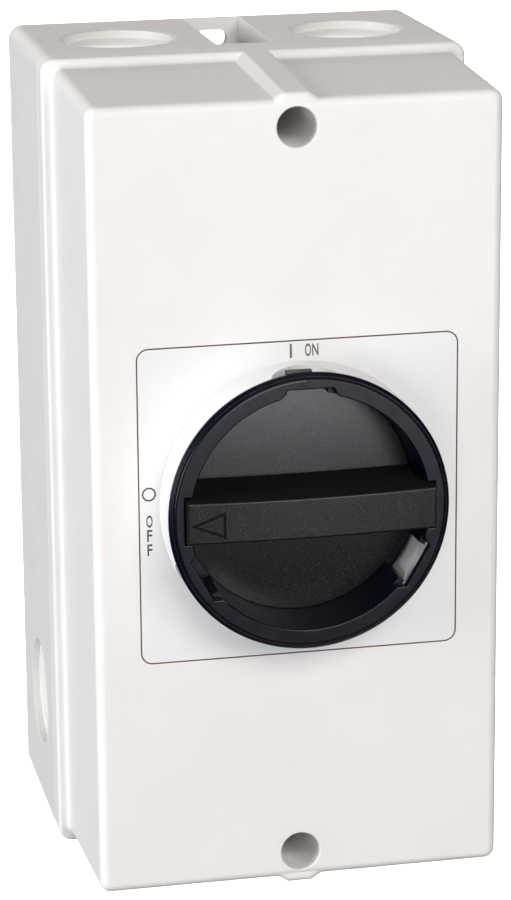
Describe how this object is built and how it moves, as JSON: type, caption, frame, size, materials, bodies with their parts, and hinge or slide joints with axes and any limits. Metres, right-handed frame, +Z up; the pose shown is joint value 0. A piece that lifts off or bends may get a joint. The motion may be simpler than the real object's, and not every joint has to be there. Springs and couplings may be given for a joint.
{
  "type": "rotary isolator switch in enclosure",
  "caption": "Wall-mounted plastic enclosure with a lift-off cover and a round padlockable rotary handle that opens and closes cam-driven switch contacts.",
  "frame": {"origin": "centre of the enclosure's flat back face, in the wall plane", "axes": "+X to the viewer's right, +Z up, the front faces -Y and the wall is on the +Y side"},
  "size_m": [0.1204, 0.1345, 0.2294],
  "materials": {
    "base_plastic": "satin",
    "cover_plastic": "fine grain",
    "plate_plastic": "smooth",
    "collar_plastic": "smooth",
    "ring_plastic": "satin",
    "grip_plastic": "fine grain",
    "inner_plastic": "matt",
    "seal_rubber": "matt",
    "cover_screw_steel": "zinc plated",
    "steel": "plated",
    "zinc_steel": "zinc plated",
    "switch_plastic": "matt",
    "cam_plastic": "matt",
    "contact_brass": "plain",
    "spring_steel": "drawn wire"
  },
  "bodies": {
    "base": {"base_housing": "base_plastic", "cover_gasket": "seal_rubber", "mounting_plate": "steel", "plate_screws": "zinc_steel", "foot_plate": "switch_plastic", "foot_screws": "zinc_steel", "contact_stage_1": "switch_plastic", "contact_stage_2": "switch_plastic", "fixed_contacts_1": "contact_brass", "fixed_contacts_2": "contact_brass", "terminal_clamps_1": "zinc_steel", "terminal_clamps_2": "zinc_steel", "terminal_screws_1": "zinc_steel", "terminal_screws_2": "zinc_steel", "latch_housing": "switch_plastic", "latch_lid": "switch_plastic", "through_bolts": "zinc_steel", "detent_springs": "steel", "earth_terminal": "contact_brass", "earth_terminal_screws": "zinc_steel", "neutral_terminal": "contact_brass", "neutral_terminal_screws": "zinc_steel"},
    "camshaft": {"drive_shaft": "steel", "cam_1": "cam_plastic", "cam_2": "cam_plastic", "detent_wheel": "cam_plastic"},
    "cover": {"cover_shell": "cover_plastic", "cover_screws": "cover_screw_steel", "cover_screw_seals": "seal_rubber", "front_plate": "plate_plastic", "collar": "collar_plastic", "lock_tab": "inner_plastic", "collar_clamp": "inner_plastic", "collar_screws": "zinc_steel"},
    "handle": {"handle_ring": "ring_plastic", "handle_grip": "grip_plastic", "grip_screws": "zinc_steel", "hub_seal": "seal_rubber", "hub_clip": "steel", "shaft_socket": "switch_plastic"},
    "contact_1_right": {"plunger_1_right": "cam_plastic", "contact_bridge_1_right": "contact_brass", "contact_spring_1_right": "spring_steel"},
    "contact_1_left": {"plunger_1_left": "cam_plastic", "contact_bridge_1_left": "contact_brass", "contact_spring_1_left": "spring_steel"},
    "contact_2_right": {"plunger_2_right": "cam_plastic", "contact_bridge_2_right": "contact_brass", "contact_spring_2_right": "spring_steel"},
    "contact_2_left": {"plunger_2_left": "cam_plastic", "contact_bridge_2_left": "contact_brass", "contact_spring_2_left": "spring_steel"}
  },
  "joints": [
    {"name": "cover_lift", "type": "slide", "parent": "base", "child": "cover", "axis": [0, -1, 0], "range_m": [0, 0.12]},
    {"name": "handle_turn", "type": "hinge", "parent": "cover", "child": "handle", "pos_m": [0, -0.13, 0.0005], "axis": [0, 1, 0], "range_deg": [0, 90]},
    {"name": "shaft_turn", "type": "hinge", "parent": "base", "child": "camshaft", "pos_m": [0, -0.06, 0.0005], "axis": [0, 1, 0], "range_deg": [0, 90], "deforming": ["detent_springs"]},
    {"name": "contact_1_right_slide", "type": "slide", "parent": "base", "child": "contact_1_right", "axis": [-1, 0, 0], "range_m": [0, 0.003], "deforming": ["contact_spring_1_right"]},
    {"name": "contact_1_left_slide", "type": "slide", "parent": "base", "child": "contact_1_left", "axis": [1, 0, 0], "range_m": [0, 0.003], "deforming": ["contact_spring_1_left"]},
    {"name": "contact_2_right_slide", "type": "slide", "parent": "base", "child": "contact_2_right", "axis": [-1, 0, 0], "range_m": [0, 0.003], "deforming": ["contact_spring_2_right"]},
    {"name": "contact_2_left_slide", "type": "slide", "parent": "base", "child": "contact_2_left", "axis": [1, 0, 0], "range_m": [0, 0.003], "deforming": ["contact_spring_2_left"]}
  ],
  "couplings": [
    {"joint": "shaft_turn", "follows": "handle_turn", "ratio": 1},
    {"joint": "contact_1_right_slide", "follows": "handle_turn", "m_per_rad": 0.0019098},
    {"joint": "contact_1_left_slide", "follows": "handle_turn", "m_per_rad": 0.0019098},
    {"joint": "contact_2_right_slide", "follows": "handle_turn", "m_per_rad": 0.0019098},
    {"joint": "contact_2_left_slide", "follows": "handle_turn", "m_per_rad": 0.0019098}
  ]
}
